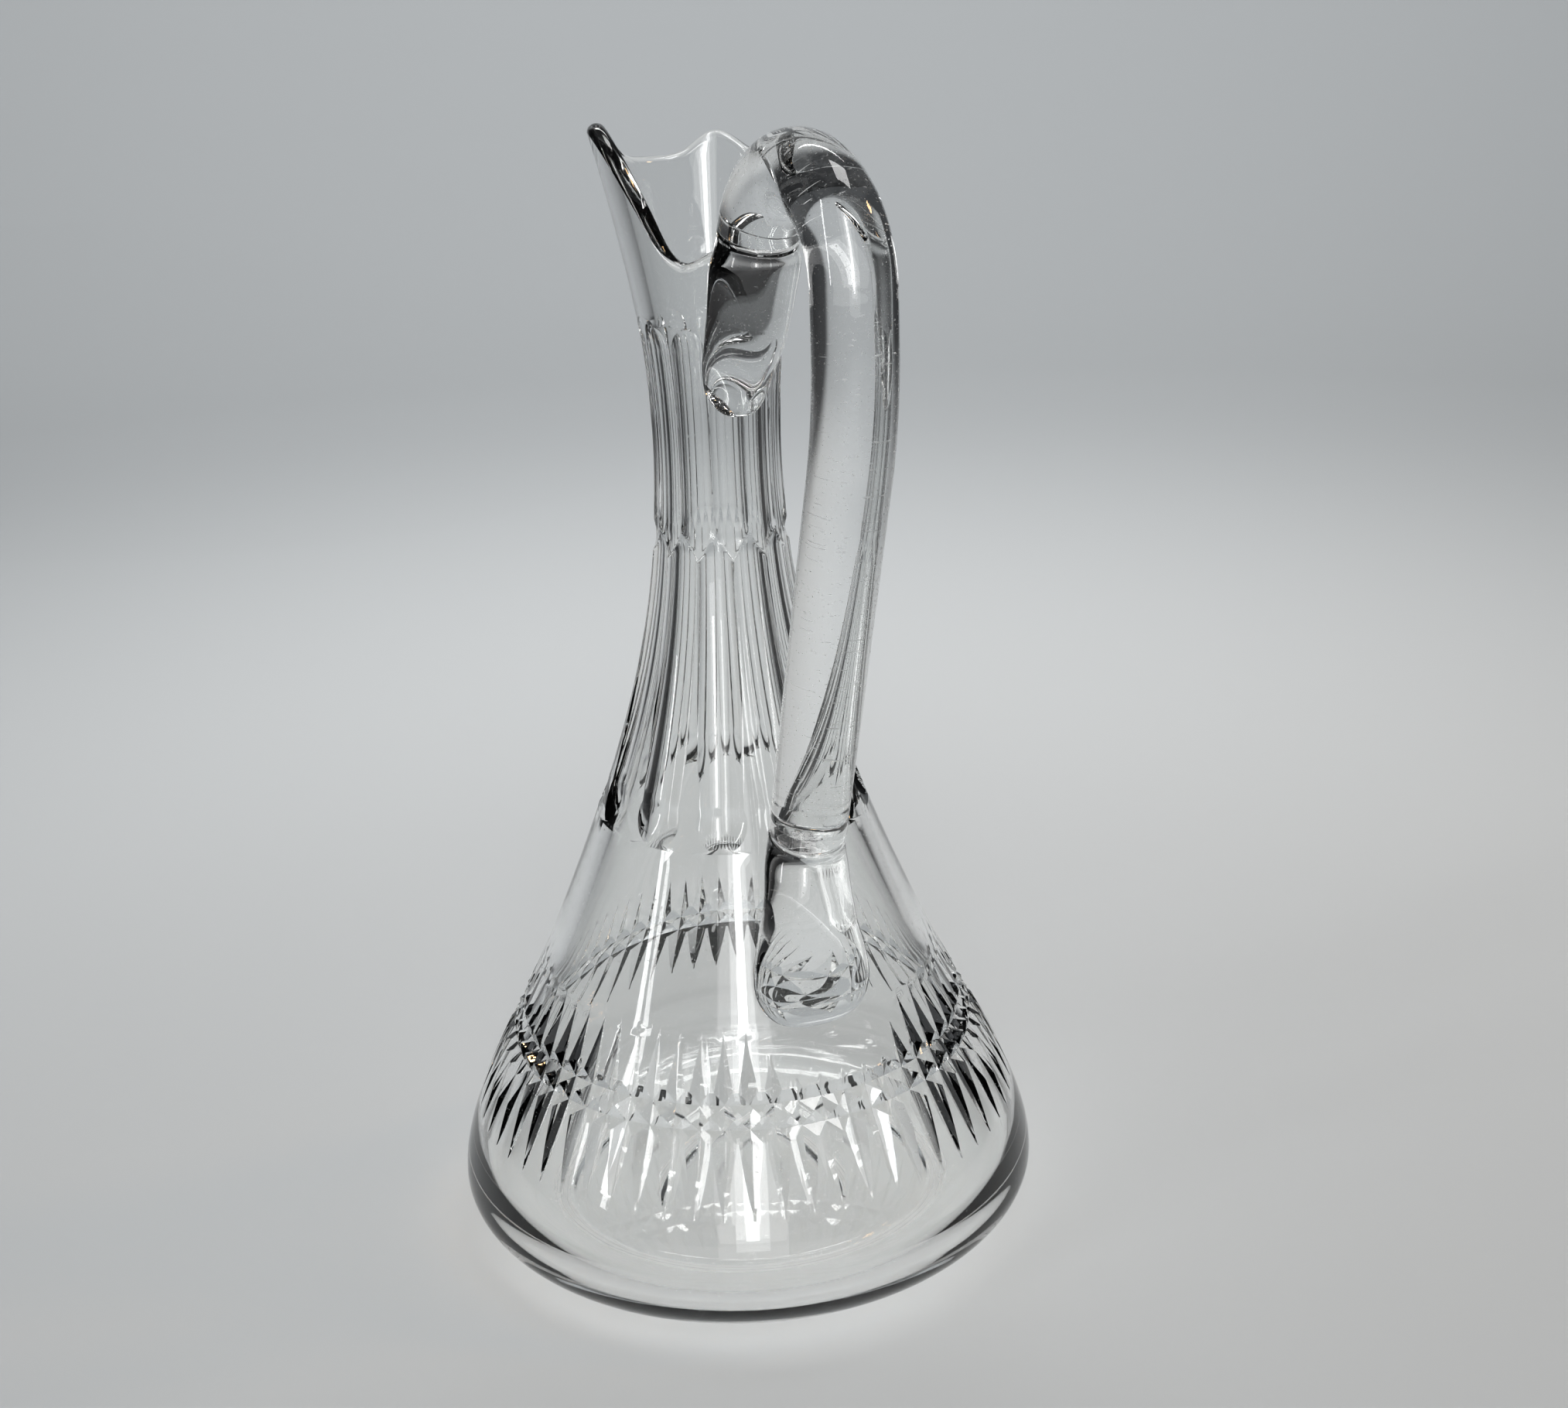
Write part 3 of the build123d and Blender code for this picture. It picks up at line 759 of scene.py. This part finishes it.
# The floor and the backdrop: a round sweep of matt paper, bent up all round, so that every
# side is seen against the same paper. It lies a hair under the carafe's rim. Sizes in metres.
# Its colour holds painted light: pale near the carafe, with painted shade further out and at the
# sides.
FLOOR_HEIGHT = -0.0003
FLOOR = 1.1
BEND = 0.7
BEND_STEPS = 12
BEND_STEP = math.radians(7.5)
WALL = 0.9
bpy.ops.object.select_all(action="DESELECT")
bpy.ops.mesh.primitive_circle_add(
    vertices=96, radius=FLOOR, fill_type="NGON", location=(0, 0, FLOOR_HEIGHT)
)
sweep = bpy.context.object
sweep.name = "studio_sweep"
bpy.ops.object.mode_set(mode="EDIT")
bpy.ops.mesh.select_all(action="SELECT")
bpy.ops.mesh.normals_make_consistent(inside=False)
bpy.ops.mesh.select_mode(type="EDGE")
bpy.ops.mesh.region_to_loop()
turn = 0.0
reached = FLOOR
for step in range(BEND_STEPS):
    turn += BEND_STEP
    rise = BEND * (math.cos(turn - BEND_STEP) - math.cos(turn))
    out = BEND * (math.sin(turn) - math.sin(turn - BEND_STEP))
    wider = (reached + out) / reached
    bpy.ops.mesh.extrude_edges_move(TRANSFORM_OT_translate={"value": (0, 0, rise)})
    bpy.ops.transform.resize(value=(wider, wider, 1), center_override=(0, 0, 0))
    reached += out
bpy.ops.mesh.extrude_edges_move(TRANSFORM_OT_translate={"value": (0, 0, WALL)})
bpy.ops.object.mode_set(mode="OBJECT")
bpy.ops.object.shade_smooth_by_angle(angle=math.radians(30))
paper = bpy.data.materials.new("pale paper with painted shade")
paper.use_nodes = True
paper_nodes = paper.node_tree.nodes
wire = paper.node_tree.links.new
paper_shader = paper_nodes["Principled BSDF"]
spot = paper_nodes.new("ShaderNodeTexCoord")
flat = paper_nodes.new("ShaderNodeVectorMath")
flat.operation = "MULTIPLY"
flat.inputs[1].default_value = (1, 1, 0)
away = paper_nodes.new("ShaderNodeVectorMath")
away.operation = "LENGTH"
# Painted shade: the paper's colour falls from pale near the carafe to grey further out, as if the
# light fell off
far = paper_nodes.new("ShaderNodeMapRange")
far.interpolation_type = "SMOOTHSTEP"
far.inputs["From Min"].default_value = 0.3
far.inputs["From Max"].default_value = 1.0
grey = paper_nodes.new("ShaderNodeMix")
grey.data_type = "RGBA"
grey.inputs["A"].default_value = (0.50, 0.52, 0.53, 1)
grey.inputs["B"].default_value = (0.31, 0.325, 0.335, 1)
wire(spot.outputs["Object"], flat.inputs[0])
wire(flat.outputs["Vector"], away.inputs[0])
wire(away.outputs["Value"], far.inputs["Value"])
wire(far.outputs["Result"], grey.inputs["Factor"])

# Painted light and shade: a lit strip is painted into the paper's colour, widening towards the
# back;
# beside it painted shade darkens the paper to near black on either side
TO_THE_RIGHT = (0.415, 0.910)
TO_THE_FRONT = (0.910, -0.415)
PAINTED_STRIP_WIDENING = 0.38
paper_colour_with_painted_light = grey.outputs["Result"]
for side, start, end in ((1, 0.22, 0.40), (-1, 0.28, 0.70)):
    sideways = [side * r + PAINTED_STRIP_WIDENING * f for r, f in zip(TO_THE_RIGHT, TO_THE_FRONT)]
    over = paper_nodes.new("ShaderNodeVectorMath")
    over.operation = "DOT_PRODUCT"
    over.inputs[1].default_value = (*sideways, 0)
    painted_side_shade = paper_nodes.new("ShaderNodeMapRange")
    painted_side_shade.interpolation_type = "SMOOTHSTEP"
    painted_side_shade.inputs["From Min"].default_value = start
    painted_side_shade.inputs["From Max"].default_value = end
    tone = paper_nodes.new("ShaderNodeMix")
    tone.data_type = "RGBA"
    # Painted shade: near black, in place of unlit paper at the sides
    tone.inputs["B"].default_value = (0.035, 0.037, 0.04, 1)
    wire(flat.outputs["Vector"], over.inputs[0])
    wire(over.outputs["Value"], painted_side_shade.inputs["Value"])
    wire(painted_side_shade.outputs["Result"], tone.inputs["Factor"])
    wire(paper_colour_with_painted_light, tone.inputs["A"])
    paper_colour_with_painted_light = tone.outputs["Result"]
wire(paper_colour_with_painted_light, paper_shader.inputs["Base Color"])
paper_shader.inputs["Roughness"].default_value = 0.9
sweep.data.materials.append(paper)


# The lights: three strips, one in another, whose glint on the glass fades at its edges, soft
# boxes on the backdrop, overhead and to one side, a small warm lamp, and a dim grey room.
def soft_box(name, place, aim, width, height, power):
    """A rectangular lamp at a place, turned to what it aims at."""
    light = bpy.data.lights.new(name, "AREA")
    light.shape = "RECTANGLE"
    light.size = width
    light.size_y = height
    light.energy = power
    box = bpy.data.objects.new(name, light)
    bpy.context.scene.collection.objects.link(box)
    box.location = place
    box.rotation_euler = (Vector(aim) - Vector(place)).to_track_quat("-Z", "Y").to_euler()
    return box


for width, height, power in ((0.10, 1.0, 4.2), (0.26, 1.15, 3.4), (0.55, 1.3, 2.8)):
    soft_box("strip behind the camera", (0.88, -0.40, 0.62), (0, 0, 0.14), width, height, power)
soft_box("box on the backdrop", (-0.5, 0.25, 1.3), (-1.5, 0.7, 0.55), 0.8, 0.8, 26)
soft_box("box overhead", (0.1, 0.25, 1.2), (0, 0, 0.2), 0.35, 0.35, 3)
soft_box("side box", (0.1, -1.0, 0.6), (0, 0, 0.14), 0.06, 0.9, 2)
lamp = soft_box("warm room lamp", (0.3, 0.8, 0.9), (0, 0, 0.2), 0.12, 0.12, 1.2)
lamp.data.color = (1.0, 0.62, 0.3)
world = bpy.data.worlds.new("grey room")
bpy.context.scene.world = world
world.use_nodes = True
room = world.node_tree.nodes["Background"]
room.inputs["Color"].default_value = (0.05, 0.053, 0.056, 1)
room.inputs["Strength"].default_value = 1.0

# The camera stands a little above the carafe, on the handle's side, leaning very slightly, at the
# distance and with the lens that were fitted to the photograph.
stand = Vector((0.4808, -0.2192, 0.3297))
looked_at = Vector((0.00605, 0.0124, 0.1385))
roll = math.radians(-2.1)
forward = (looked_at - stand).normalized()
right = forward.cross(Vector((0, 0, 1))).normalized()
upright = right.cross(forward)
across = right * math.cos(roll) + upright * math.sin(roll)
up = upright * math.cos(roll) - right * math.sin(roll)
bpy.ops.object.camera_add()
camera = bpy.context.object
aimed = Matrix((across, up, -forward)).transposed()
camera.matrix_world = Matrix.Translation(stand) @ aimed.to_4x4()
camera.data.lens = 51.59
camera.data.sensor_width = 36
camera.data.clip_start = 0.01
bpy.context.scene.camera = camera
bpy.context.scene.view_settings.view_transform = "Standard"
